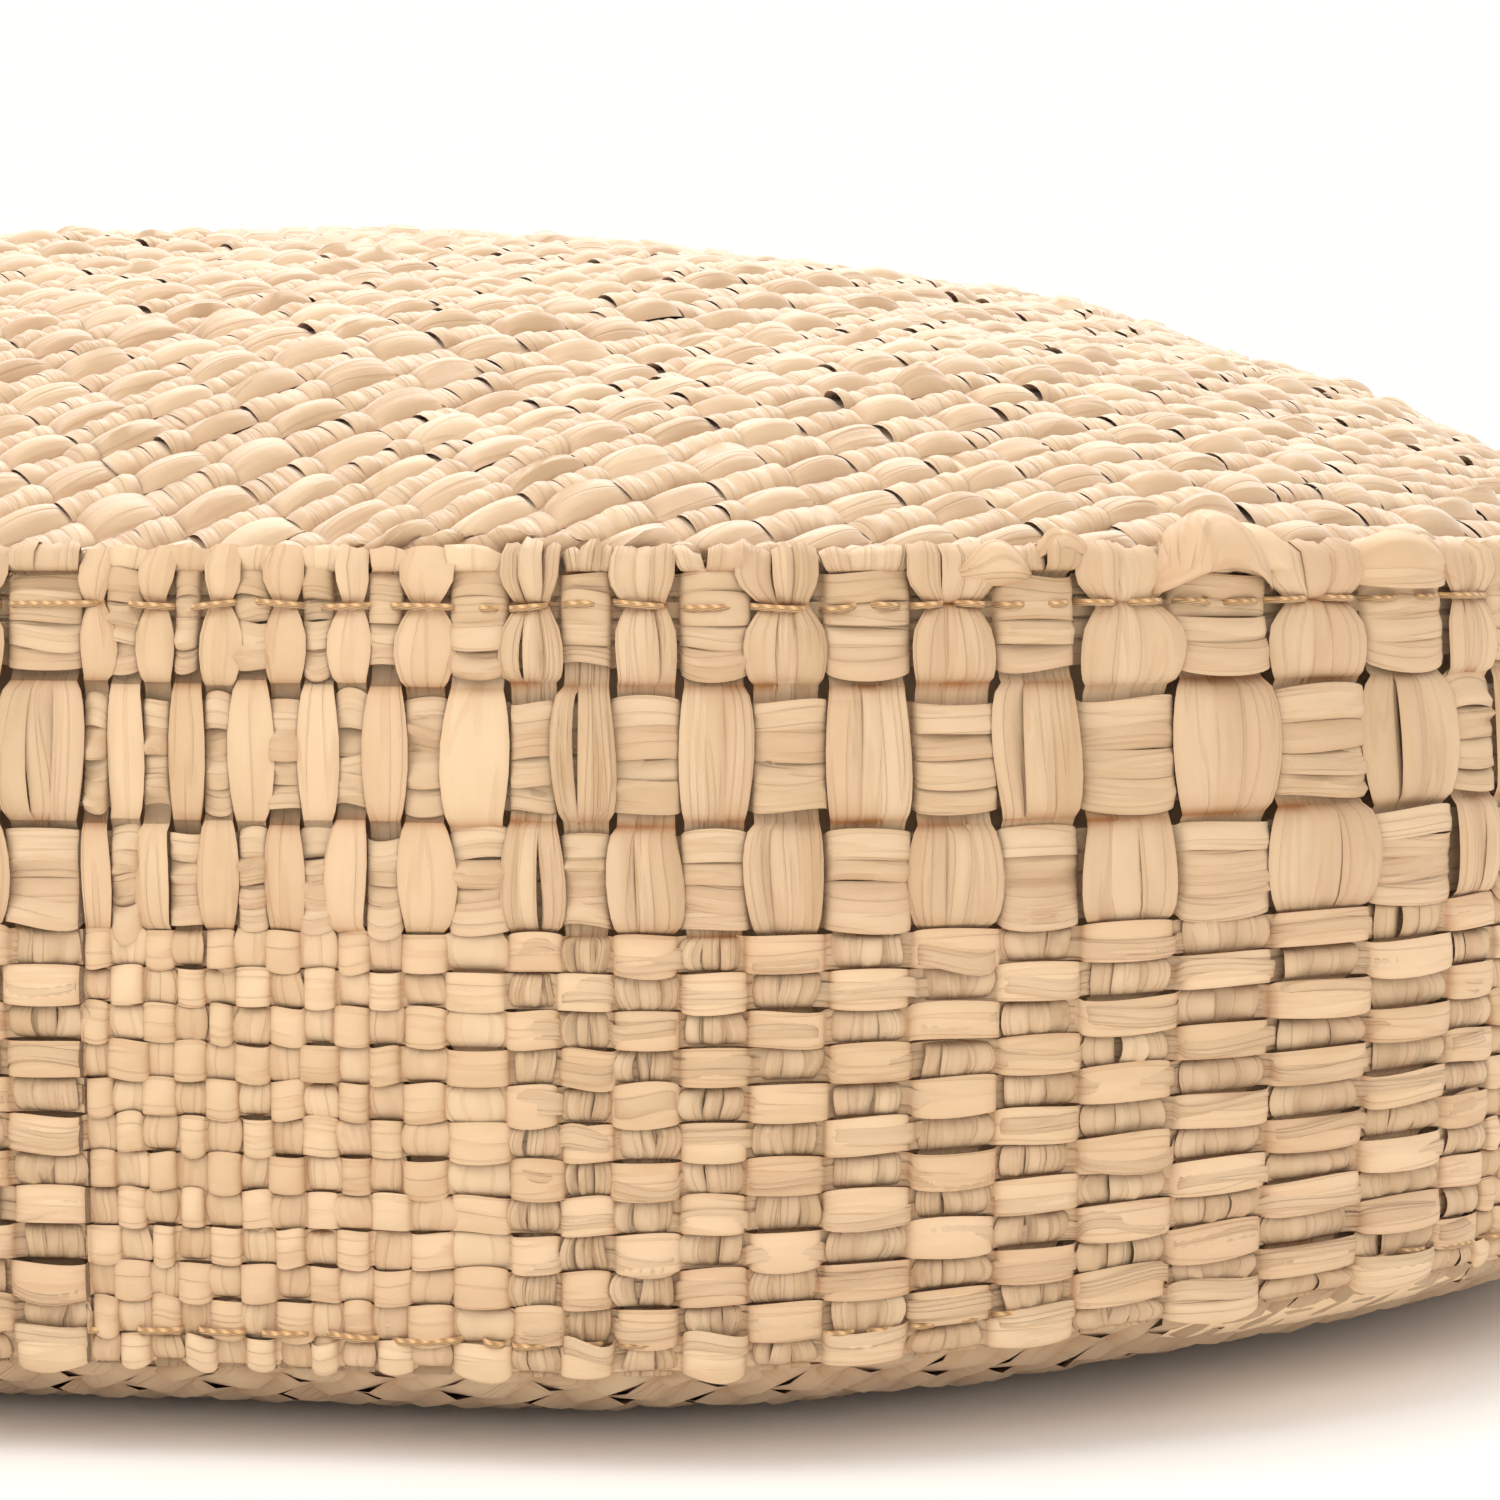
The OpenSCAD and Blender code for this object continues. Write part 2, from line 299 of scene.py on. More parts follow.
case_inset = pad_width / 2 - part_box("inner_case_band")[1][0]
ply_gap = 0.0003
case_ply = fill_inset - case_inset - ply_gap
case_drop = crown_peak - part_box("inner_case_top")[1][2]
case_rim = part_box("inner_case_top")[0][2]
case_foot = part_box("inner_case_bottom")[1][2]
case_shares = share_in[::-1]
case_top = lofted(
    "calico_top",
    np.r_[np.full(len(case_shares) + 1, case_inset), np.full(len(case_shares) + 1, case_inset + case_ply)],
    np.r_[case_shares, 0, 0, case_shares[::-1]],
    np.r_[crown_level(case_shares) - case_drop, case_rim, case_rim,
          crown_level(case_shares[::-1]) - case_drop - case_ply], calico.material)
case_bottom = lofted(
    "calico_bottom",
    np.r_[np.full(len(under_shares) + 1, case_inset + case_ply), np.full(len(under_shares) + 1, case_inset)],
    np.r_[under_shares[::-1], 0, 0, under_shares],
    np.r_[under_level(under_shares[::-1]) + case_drop + case_ply, case_foot, case_foot,
          under_level(under_shares) + case_drop], calico.material)


def hoop(name, outer, inner, low, high, finish, columns=plan_columns):
    """A closed strip round the pad: a rectangle of two insets and two levels carried round the plan."""
    x, y, nx, ny = plan(np.arange(columns) * girth / columns)
    inset, level = np.array([outer, outer, inner, inner])[:, None], np.array([low, high, high, low])[:, None]
    points = np.stack([x - nx * inset, y - ny * inset, level + 0 * x], -1).reshape(-1, 3)
    here = np.arange(columns)
    ahead = (here + 1) % columns
    side = np.arange(4)[:, None] * columns
    turn = (side + columns) % (4 * columns)
    corners = np.stack([side + here, side + ahead, turn + ahead, turn + here], -1).ravel()
    return mesh_piece(name, points, corners, np.arange(0, len(corners), 4), finish,
                      crease=hard_crease)


case_low, case_high = (corner[2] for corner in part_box("inner_case_band"))
case_band = hoop("calico_band", case_inset, case_inset + case_ply, case_low, case_high, calico.material)
thread_low, thread_high = (corner[2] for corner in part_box("inner_case_thread"))
case_thread_size = 0.0004
case_thread = hoop("calico_thread_upper", case_inset - case_thread_size, case_inset,
                   thread_high - case_thread_size, thread_high, calico.material)
case_thread_lower = hoop("calico_thread_lower", case_inset - case_thread_size, case_inset,
                         thread_low, thread_low + case_thread_size, calico.material)
for piece in (case_top, case_bottom, case_band, case_thread, case_thread_lower):
    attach(piece, "root")
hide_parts("inner_case_top")
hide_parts("inner_case_bottom")
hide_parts("inner_case_band")
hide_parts("inner_case_thread")


# ------------------------
# Bottom panel. Two sets of flat raffia strands, plaited over one and under one at 45 degrees to
# the edges. It lies on the seat, and its rim turns up inside the band, where it is sewn.
# ------------------------

panel_inset = pad_width / 2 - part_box("top_panel_right_strands")[1][0]
half_panel = pad_width / 2 - panel_inset
rim_radius = corner_radius - panel_inset
rim_flat = half_panel - rim_radius
band_height = band_top - band_foot
corner_curl = 0.0042
curl_fade = 8
dent_depth = 0.0009
fold_spread, fold_slant = 0.75, 0.5
fold_wide, fold_narrow, ridge_half = 0.30, 0.22, 0.3


def reach_of(x, y):
    """How far out a place is, as the size of the rounded square through it: 0 in the middle, 1 at the rim.
    On the sides it is the larger coordinate, and in a corner the root of a quadratic for the arc."""
    x, y = np.abs(x), np.abs(y)
    side = np.maximum(x, y) / half_panel
    total, square = rim_flat * (x + y), x * x + y * y
    inside = np.maximum(total * total - (2 * rim_flat**2 - rim_radius**2) * square, 0)
    arc = square / np.maximum(total + np.sqrt(inside), 1e-9)
    return np.where(np.minimum(x, y) > rim_flat * side, arc, side)


def corner_lift(x, y):
    """How far the foot of the band curls up at the corners: a smooth hump over each quarter turn."""
    flat = pad_width / 2 - corner_radius
    turn = np.arctan2(np.maximum(np.abs(x) - flat, 0), np.maximum(np.abs(y) - flat, 0) + 1e-9)
    return corner_curl * np.sin(2 * turn) ** 2


def crown_place(x, y):
    """The crown over a flat place. Past the rim the panel turns straight down inside the band."""
    reach = reach_of(x, y)
    out = np.maximum(reach, 1)
    dents = dent_depth * (np.sin(71 * x + 2) * np.sin(63 * y + 1) + 0.7 * np.sin(127 * x - 90 * y))
    level = crown_level(1 - np.minimum(reach, 1)) + dents - (out - 1) * half_panel
    return np.stack([x / out, y / out, level], -1)


def under_place(x, y):
    """The underside over a flat place. Past the rim the panel turns straight up inside the band."""
    reach = reach_of(x, y)
    out = np.maximum(reach, 1)
    level = under_level(1 - np.minimum(reach, 1)) + (out - 1) * half_panel
    level = level + corner_lift(x / out, y / out) * np.minimum(reach, 1) ** curl_fade
    return np.stack([x / out, y / out, level], -1)


def draped(place, x, y, height, step=0.0005):
    """Points at a height above a surface, along its normal, which is the cross product of two slopes."""
    across = place(x + step, y) - place(x - step, y)
    back = place(x, y + step) - place(x, y - step)
    normal = np.cross(across, back)
    normal /= np.maximum(np.linalg.norm(normal, axis=-1, keepdims=True), 1e-12)
    return place(x, y) + normal * height[..., None]


def strands(rng, edges, over, keep, samples, centre, offset, width, lift, look, ring=False):
    """The flat shape of a set of strands, each of which runs through crossings from edge to edge.
    A strand swings above and below its weave in a sine that is flattened to a plateau, once for each
    crossing. Where it is on top it swells, tilts and wrinkles by amounts drawn for that crossing, and it
    narrows as it dives under. Returns lengths along, places across, heights, and what the mesh needs."""
    strand, cell = np.nonzero(keep)
    count = samples[strand, cell]
    ends = np.r_[strand[1:] != strand[:-1], True]
    drawn = count + (ends & (not ring))
    owner = np.repeat(np.arange(len(count)), drawn)
    step = np.arange(len(owner)) - np.repeat(np.cumsum(drawn) - drawn, drawn)
    part = step / count[owner]
    part = part - look["gather"] * np.sin(2 * np.pi * part)
    edges = np.broadcast_to(edges, (len(over), over.shape[1] + 1))
    run = edges[strand, cell + 1] - edges[strand, cell]
    along = edges[strand, cell][owner] + run[owner] * part
    plateau = np.abs(np.sin(np.pi * part)) ** look["flat"]
    side = over[strand, cell]
    on_top = (plateau * (side > 0)[owner])[:, None]
    profile = np.linspace(-1, 1, look["points"])[None, :]
    draw = rng.normal(size=(8, len(count)))[:, owner, None]
    place = rng.uniform(-fold_spread, fold_spread, size=(3, len(count)))[:, owner, None]
    slant = rng.uniform(-fold_slant, fold_slant, size=(2, len(count)))[:, owner, None]
    slant = slant * (part[:, None] - 0.5)
    height = (side[owner] * lift[strand, cell][owner] * plateau)[:, None] + look["step"] * draw[6] * on_top
    height = height + on_top * (
        look["belly"] * (1 - profile**2) - look["curl"] * profile**4
        + (look["shingle"] + look["tilt"] * draw[0]) * profile
        + look["fold"] * draw[1] * np.exp(-(((profile - place[0] - slant[0]) / fold_wide) ** 2))
        + look["fold"] * draw[2] * np.exp(-(((profile - place[1] - slant[1]) / fold_narrow) ** 2))
        + look["fold"] * draw[4] * np.maximum(0, 1 - np.abs(profile - place[2] + slant[0]) / ridge_half))
    swell = (np.abs(np.sin(np.pi * part)) ** look["leaf"] * (side > 0)[owner])[:, None]
    spread = (1 - look["pinch"] * (1 - swell)) * (1 + look["vary"] * draw[3] * on_top)
    own = (offset[strand][owner][:, None] + width[strand][owner][:, None] / 2 * profile) * spread
    lean = look["wander"] * (draw[5] + draw[7] * 2 * (part[:, None] - 0.5)) * on_top
    across = centre[strand][owner][:, None] + own + lean
    first = np.r_[True, ends[owner][:-1] & (owner[1:] != owner[:-1])]
    covered = (run * width[strand] / look["overlap"] / drawn)[owner]
    return {"along": along[:, None] + 0 * across, "across": across, "height": height,
            "first": first, "ring": ring, "covered": covered, "tuck": 1 - plateau,
            "middle": centre[strand][owner][:, None]}


grain_shift = 5
uv_margin = 0.03
number_step = 1000


def strand_mesh(name, shape, points, finish, rng, tag=0):
    """Closes each strand's section into a loop, joins the loops into a tube, and caps its two ends.
    UVs hold the length along the strand, and across it the strand's number plus the share of its width."""
    rows, width = shape["across"].shape
    index = np.arange(rows)
    group = np.cumsum(shape["first"]) - 1
    begin = np.nonzero(shape["first"])[0]
    finish_row = np.r_[begin[1:] - 1, rows - 1]
    ahead = index + 1
    if shape["ring"]:
        ahead[finish_row] = begin
        body = index
    else:
        body = np.setdiff1d(index, finish_row)
    k = np.arange(width)
    k_next = (k + 1) % width
    a, b = body[:, None] * width, ahead[body][:, None] * width
    quads = np.stack([a + k, b + k, b + k_next, a + k_next], -1)
    corners, sizes = [quads.ravel()], [np.full(quads[..., 0].size, 4)]
    if not shape["ring"]:
        corners += [(begin[:, None] * width + k).ravel(), (finish_row[:, None] * width + k[::-1]).ravel()]
        sizes += [np.full(2 * len(begin), width)]
    corners, sizes = np.concatenate(corners), np.concatenate(sizes)
    shift = rng.uniform(0, grain_shift, len(begin))[group][:, None]
    u = shape["along"] + shift
    v = (group + tag)[:, None] + np.linspace(uv_margin, 1 - uv_margin, width)[None, :]
    uv = np.stack([u, v + 0 * u], -1).reshape(-1, 2)
    piece = mesh_piece(name, points.reshape(-1, 3), corners, np.cumsum(sizes) - sizes, finish, uv)
    # tuck: how far each point has dived under, which the raffia shader uses for painted shade
    tuck = piece.data.attributes.new("tuck", "FLOAT", "POINT")
    tuck.data.foreach_set("value", np.repeat(shape["tuck"], width).astype(np.float32))
    return piece


raffia_pale = (0.695, 0.515, 0.325, 1)
raffia_tan = (0.53, 0.355, 0.20, 1)
raffia_pink = (0.62, 0.415, 0.26, 1)
# Painted shade colour: the raffia darkens towards it in creases, at strip edges and at tucks
painted_shade_brown = (0.36, 0.15, 0.05, 1)
pink_share = 0.5
fibre_share = 0.10
# Shares of painted shade in fold creases, at strip edges and at tucks
crease_shade_share = 0.13
crease_width = 0.0016
edge_shade_share = 0.34
tuck_shade_share = 0.12
leaf_relief = 0.00045


def raffia(name, warmth=0.0, tuck_shade_gain=0.5, sheen=0.05, shade=1.0):
    """Natural raffia. Each strand has its own tone, drawn from its number. Faint fibres, a few sharp
    folds and small crosswise crinkles come from noise that is stretched along the strand. Its colour is
    darkened as painted shade in the creases of its folds, at its edges and where it is tucked under, and one
    argument sets how much more painted shade some of those tucks get, drawn at random."""
    skin = Finish(name, roughness=0.5, specular=0.3, sheen=sheen)
    along = skin.node("SeparateXYZ", "X", Vector=skin.node("UVMap", 0, {"uv_map": "strand"}))
    across = Wire(skin.tree, along.socket.node.outputs["Y"])
    number = across.floor()
    share = across - number

    def drawn(seed):
        """A number from 0 to 1, drawn anew for each value of a wire."""
        return skin.node("TexWhiteNoise", "Value", {"noise_dimensions": "1D"}, W=seed)

    def grain(lengthwise, crosswise, seed, detail, roughness=0.5):
        """Noise with so many changes to a metre of strand, and so many to its width."""
        place = skin.node("CombineXYZ", 0, X=along * lengthwise, Y=share * crosswise, Z=number * seed)
        return skin.node("TexNoise", 0, Detail=detail, Roughness=roughness, Scale=1.0, Vector=place)

    tone = drawn(number * 1.37 + 0.5)
    tint = drawn(number * 2.11 + 7.3)
    # Painted shade: how much more shade the tucks of each short length of strand get, drawn at random
    tuck_shade_scatter = drawn(number * 3.3 + (along * 60.0).floor())
    fibres = grain(90.0, 18.0, 3.7, 3.0, 0.6)
    folds = grain(38.0, 2.2, 5.3, 1.0)
    blotch = grain(120.0, 1.3, 1.9, 2.0)
    crinkle = grain(320.0, 2.5, 2.9, 2.0)
    # Crease: a thin line along each fold, dented by the bump and darkened as painted shade
    crease = 1 - skin.node("MapRange", 0, Value=(folds - 0.5) * (folds - 0.5), From_Max=crease_width)
    tuck = skin.node("Attribute", "Fac", {"attribute_name": "tuck"})
    # Edge: near 1 at a strip's two sides, darkened as painted shade where strips meet
    edge = (share - 0.5) * (share - 0.5) * 4.0
    tone_all = (tone * 0.7 + blotch * 0.9 - 0.32 + warmth).clamped()
    base = skin.mix(tone_all, raffia_pale, raffia_tan)
    base = skin.mix(tint * pink_share, base, raffia_pink)
    base = skin.mix((fibres * 1.6 - 0.55).clamped() * fibre_share, base, raffia_tan)
    # Painted shade in fold creases, at strip edges and where the strand tucks under
    dark = crease * crease_shade_share + edge ** 5.0 * edge_shade_share + tuck * tuck * (tuck_shade_scatter * tuck_shade_gain + tuck_shade_share)
    base = skin.mix(dark, base, painted_shade_brown)
    base = skin.mix(1.0, base, (shade, shade, shade, 1), "MULTIPLY")
    skin.feed(Base_Color=base, Roughness=(0.42 + fibres * 0.2))
    skin.bump(fibres * 0.08 + folds * 0.9 - crease * 0.14 + crinkle * 0.35, leaf_relief)
    return skin.material


panel_raffia = raffia("panel raffia", sheen=0.42, shade=0.87)
# Painted shade: the underside's raffia is dimmed for the shadow under the pad
shaded_under_raffia = raffia("under raffia", shade=0.82)
slim_pitch = 0.0042
broad_pitch = 0.0080
panel_ply = 0.0011
diagonal = math.sqrt(0.5)
panel_span = 0.30
bottom_samples = 2


def pitches(rng, pitch, span, vary=0.09):
    """Edges of strands laid side by side over a span, each a little wider or narrower than the pitch."""
    count = 2 * math.ceil(span / pitch)
    widths = pitch * (1 + vary * np.clip(rng.normal(size=count), -2, 2))
    edges = np.concatenate([[0], np.cumsum(widths)])
    return edges - edges[-1] / 2


def panel_set(rng, own_edges, cross_edges, parity, samples_at, look, strips, right):
    """One set of a plaited panel's strands, running at 45 degrees. A crossing is kept while it lies
    inside the rim, or just past it, so that each strand ends inside the band."""
    own_mid = (own_edges[1:] + own_edges[:-1]) / 2
    cross_mid = (cross_edges[1:] + cross_edges[:-1]) / 2
    along, across = np.meshgrid(cross_mid, own_mid)
    x, y = panel_axes(along, across, right)
    keep = reach_of(x, y) < 1 + look["flange"] / half_panel
    rows, columns = np.indices(keep.shape)
    over = np.where((rows + columns) % 2 == parity, 1.0, -1.0)
    used = np.nonzero(keep.sum(1) > 1)[0]
    strip = np.tile(np.arange(strips) - (strips - 1) / 2, len(used))
    owner = np.repeat(used, strips)
    widths = (own_edges[1:] - own_edges[:-1])[owner] / strips
    return strands(rng, cross_edges, over[owner], keep[owner], samples_at(x, y)[owner],
                   own_mid[owner], strip * widths, widths * look["overlap"],
                   np.full(over[owner].shape, look["lift"]), look)


def panel_axes(along, across, right):
    """Plan place of a point on a strand: one set runs along (1, 1) and the other along (-1, 1)."""
    if right:
        return diagonal * (along - across), diagonal * (along + across)
    return diagonal * (-along - across), diagonal * (along - across)


bottom_look = {"gather": 0.05, "points": 4, "flat": 0.6, "belly": 0.00035, "shingle": 0.0,
               "tilt": 0.0001, "fold": 0.0001, "step": 0.0, "pinch": 0.06, "vary": 0.03,
               "wander": 0.0001, "overlap": 1.22, "lift": 0.0006, "flange": 0.009, "curl": 0.0,
               "leaf": 0.6}
bottom_rng = np.random.default_rng(11)
slim_edges = pitches(bottom_rng, slim_pitch, panel_span)
broad_edges = pitches(bottom_rng, broad_pitch, panel_span)


def chunks(shape, parts):
    """Cuts a set of strands into parts of about equal size, at places where a strand begins."""
    begin = np.nonzero(shape["first"])[0]
    rows = len(shape["first"])
    cuts = [begin[np.argmin(np.abs(begin - rows * part / parts))] for part in range(parts)] + [rows]
    for low, high in zip(cuts[:-1], cuts[1:]):
        yield {key: value[low:high] if isinstance(value, np.ndarray) else value
               for key, value in shape.items()}


def plaited(label, node, shape, place, finish, rng, parts, reach):
    """Mesh pieces for a set of strands laid on a surface, which replace one piece of the drawing.
    For each, the share of the reach that its strands cover is worked out, and not kept."""
    for number, part in enumerate(chunks(shape, parts), 1):
        points = place(part["along"], part["across"], part["height"])
        piece = strand_mesh(f"{label}_{number}", part, points, finish, rng, number_step * number)
        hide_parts(node)
        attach(piece, "root")
        part["covered"].sum() / reach


for name, right, own, cross in (("right", True, slim_edges, broad_edges),
                                ("left", False, -broad_edges[::-1], slim_edges)):
    shape = panel_set(bottom_rng, own, cross, 0, lambda x, y: np.full(x.shape, bottom_samples),
                      bottom_look, 1, right)

    def under_strands(along, across, height):
        """Strands of the underside, with their outer side facing down and mirrored left to right."""
        x, y = panel_axes(along, across, right)
        return draped(under_place, -x, y, panel_ply - height)

    plaited(f"bottom_panel_{name}_plait", f"bottom_panel_{name}_strands", shape, under_strands,
            shaded_under_raffia, bottom_rng, 1, pad_width)


# ------------------------
# Top panel. The same plait in finer, springier leaf. Strands that lean right are one folded leaf
# each; strands that lean left are bundles of strips. Its rim turns down inside the band.
# ------------------------

slim_bias = 0.0001
far_samples = 3
near_low = np.array([-0.03, -0.21])
near_high = np.array([0.21, -0.07])
slim_look = {"gather": 0.07, "points": 7, "flat": 0.5, "belly": 0.001, "shingle": 0.00015,
             "tilt": 0.00028, "fold": 0.0003, "step": 0.00015, "pinch": 0.08, "vary": 0.1,
             "wander": 0.0003, "overlap": 1.05, "lift": 0.0005, "flange": 0.006, "curl": 0.0007,
             "leaf": 0.6}
broad_look = {"gather": 0.06, "points": 4, "flat": 0.5, "belly": 0.00025, "shingle": 0.0,
              "tilt": 0.0002, "fold": 0.0001, "step": 0.0002, "pinch": 0.05, "vary": 0.05,
              "wander": 0.00015, "overlap": 1.3, "lift": 0.0009, "flange": 0.006, "curl": 0.0002,
              "leaf": 0.6}


def near_samples(fine, coarse):
    """More points for each crossing where the pad is seen from close by."""
    def count(x, y):
        """Points for the crossings at some plan places."""
        near = (x > near_low[0]) & (x < near_high[0]) & (y > near_low[1]) & (y < near_high[1])
        return np.where(near, fine, coarse)
    return count


top_rng = np.random.default_rng(23)
for name, right, own, cross, look, strips, fine, parts in (
        ("right", True, slim_edges, broad_edges, slim_look, 1, 9, 2),
        ("left", False, -broad_edges[::-1], slim_edges, broad_look, 4, 7, 3)):
    shape = panel_set(top_rng, own, cross, 0, near_samples(fine, far_samples), look, strips, right)

    def crown_strands(along, across, height):
        """Strands of the crown, measured from the underside of the panel's upper layer."""
        x, y = panel_axes(along, across, right)
        return draped(crown_place, x, y, height - panel_ply + (slim_bias if right else -slim_bias))

    plaited(f"top_panel_{name}_plait", f"top_panel_{name}_strands", shape, crown_strands,
            panel_raffia, top_rng, parts, pad_width)


# ------------------------
# Band, level strands. Three wide rows of crumpled leaf near the top, then many slim rows below,
# woven over one and under one round the whole pad. Each row is a closed hoop.
# ------------------------

weave_inset = 0.0022
fold_radius = 0.0009
belly = 0.0020
fold_drop = 0.0013
foot_rise = 0.0006
fold_start = band_top - fold_radius - fold_drop
foot_start = band_foot + fold_radius + foot_rise
row_low = band_foot + np.array([0.0679, 0.0546, 0.0436])
row_high = band_foot + np.array([0.0770, 0.0651, 0.0527])
fine_rows = 12
fine_pitch = 0.00355
fine_top = 0.0433
last_row_trim = 0.0007
fine_edges = band_foot + fine_top - fine_pitch * np.arange(fine_rows + 1)
fine_edges[-1] += last_row_trim
near_columns = np.array([
    2.63, 3.20, 2.90, 2.99, 3.08, 3.17, 3.26, 3.16, 3.15, 3.33, 4.18, 5.68,
    5.06, 4.93, 6.31, 6.50, 7.11, 8.36, 8.38, 8.49, 10.22, 11.00, 12.45, 11.72, 7.37]) / 1000
near_start = 0.1116
near_end = 0.27
near_wrap = 0.09
repeats = 10
fine_columns = 12
slim_column = 0.0032
broad_column = 0.0077
column_vary = 0.09
row_sway = 0.00022
lift_floor, lift_gain, lift_width, lift_cap = 0.5, 0.6, 0.008, 1.5
weft_bias = 0.00045
layer_lift = 0.00022
layer_sink = 0.0012
layer_height = 0.45
layer_low_least, layer_low_most = 0.15, 0.45
last_layer_drop = 0.25


def column_edges(rng):
    """Lengths round the pad at which the columns meet: the near repeat as listed, the rest drawn alike."""
    widths = rng.normal(1, column_vary, size=(repeats - 1, len(near_columns)))
    widths[:, :fine_columns] *= slim_column
    widths[:, fine_columns:] *= broad_column
    rest = widths.ravel() * (girth - near_columns.sum()) / widths.sum()
    return near_start + np.concatenate([[0], np.cumsum(np.concatenate([near_columns, rest]))])


def band_place(run, rise, out):
    """A place on the band: a length round it, a length up it, and a height off it. The band bellies out
    between its folds, and curls through half circles at the top fold and under its foot."""
    x, y, nx, ny = plan(run)
    over = np.clip((rise - fold_start) / fold_radius, 0, math.pi)
    under = np.clip((foot_start - rise) / fold_radius, 0, math.pi)
    turn = over - under
    past = np.maximum(0, rise - fold_start - math.pi * fold_radius)
    before = np.maximum(0, foot_start - math.pi * fold_radius - rise)
    level = np.clip(rise, foot_start, fold_start) + (fold_radius + out) * np.sin(turn) - past + before
    share = np.clip((level - band_foot) / band_height, 0, 1)
    swell = belly * (np.sin(math.pi * share) - 0.5) * (np.cos(turn) > 0)
    reach = (fold_radius + out) * np.cos(turn) - fold_radius - weave_inset + swell
    level = level + corner_lift(x, y) * (1 - share) ** 3
    return np.stack([x + nx * reach, y + ny * reach, level], -1)


band_raffia = raffia("band raffia", shade=0.97)
wide_raffia = raffia("wide weft raffia", warmth=0.04, shade=0.87)
# The uprights get extra painted shade where they tuck under
upright_raffia = raffia("upright raffia", warmth=0.04, tuck_shade_gain=0.7, shade=0.93)
broad_raffia = raffia("broad upright raffia", warmth=0.06, tuck_shade_gain=1.0, shade=0.86)
band_rng = np.random.default_rng(5)
columns = column_edges(band_rng)
column_count = len(columns) - 1
column_middle = (columns[1:] + columns[:-1]) / 2
column_width = columns[1:] - columns[:-1]
is_near = (column_middle < near_end) | (column_middle > girth + near_wrap)
column_over = np.where(np.arange(column_count) % 2 == 0, 1.0, -1.0)
wide_look = {"gather": 0.09, "points": 5, "flat": 0.35, "belly": 0.00032, "shingle": -0.00022,
             "tilt": 0.00035, "fold": 0.00038, "step": 0.0003, "pinch": 0.1, "vary": 0.08,
             "wander": 0.0003, "overlap": 1.28, "lift": 0.001, "curl": 0.0001, "leaf": 0.4}
fine_look = {"gather": 0.11, "points": 6, "flat": 0.42, "belly": 0.0004, "shingle": -0.0001,
             "tilt": 0.00022, "fold": 0.00016, "step": 0.0001, "pinch": 0.12, "vary": 0.06,
             "wander": 0.00018, "overlap": 1.08, "lift": 0.0009, "curl": 0.00012, "leaf": 0.45}
wide_strips = 4


def hoops(rng, low, high, sign, strips, look, fine, coarse):
    """Level strands, each a closed hoop through every column, with its strips side by side."""
    rows = len(low)
    owner = np.repeat(np.arange(rows), strips)
    strip = np.tile(np.arange(strips) - (strips - 1) / 2, rows)
    width = (high - low)[owner] / strips
    over = -sign[owner][:, None] * column_over[None, :]
    lift = look["lift"] * (lift_floor + lift_gain * np.clip(column_width / lift_width, 0, lift_cap))
    shift = np.clip(rng.normal(size=(rows, column_count + 1)), -2, 2) * row_sway
    shift[:, -1] = shift[:, 0]
    return strands(rng, (columns + shift)[owner], over, np.ones(over.shape, bool),
                   np.tile(np.where(is_near, fine, coarse), (len(owner), 1)),
                   (low + high)[owner] / 2, strip * width, width * look["overlap"],
                   np.tile(lift, (len(owner), 1)), look, ring=True)


def broadness(run):
    """How far a length round the band is among broad uprights: 0 among slim ones, 1 among broad ones."""
    return np.interp(np.mod(run - near_start, girth) + near_start, column_middle, 1.0 * is_broad)


def bridging(run, rise, height):
    """Slim rows ride a little proud where they bridge broad uprights."""
    return band_place(run, rise, height + weft_bias * broadness(run))


def second_leaf(run, rise, height):
    """A second leaf lies on the first where the uprights are broad, and sinks behind it elsewhere."""
    broad = broadness(run)
    return band_place(run, rise, height + (weft_bias + layer_lift) * broad - layer_sink * (1 - broad))


layer_look = dict(fine_look, belly=0.0003, tilt=0.00035, fold=0.0002, wander=0.0005, overlap=1.25)
wide_sign = np.array([1.0, -1.0, 1.0])
fine_sign = np.where(np.arange(fine_rows) % 2 == 0, -1.0, 1.0)
is_broad = np.arange(column_count) % len(near_columns) >= fine_columns
wide_hoops = hoops(band_rng, row_low, row_high, wide_sign, wide_strips, wide_look, 12, 4)
fine_hoops = hoops(band_rng, fine_edges[1:], fine_edges[:-1], fine_sign, 1, fine_look, 10, 4)
layer_shift = band_rng.uniform(layer_low_least, layer_low_most, fine_rows)
layer_low = (fine_edges[1:] + fine_edges[:-1]) / 2 - fine_pitch * layer_shift
layer_low[-1] = fine_edges[-2] - last_layer_drop * fine_pitch
layer_hoops = hoops(band_rng, layer_low, layer_low + layer_height * fine_pitch, fine_sign, 1, layer_look,
                    9, 3)
plaited("band_wide_hoops", "band_wide_wefts", wide_hoops, band_place, wide_raffia, band_rng, 1,
        girth)
plaited("band_slim_hoops", "band_fine_wefts", fine_hoops, bridging, band_raffia, band_rng, 1,
        girth)
plaited("band_second_leaves", "band_fine_wefts", layer_hoops, second_leaf, wide_raffia, band_rng, 1,
        girth)


# ------------------------
# Band, upright strands. Sets of slim and of broad uprights take turns round the pad. Each runs from
# a leg inside, over the top fold, through the rows, and round the foot to a leg inside again.
# ------------------------

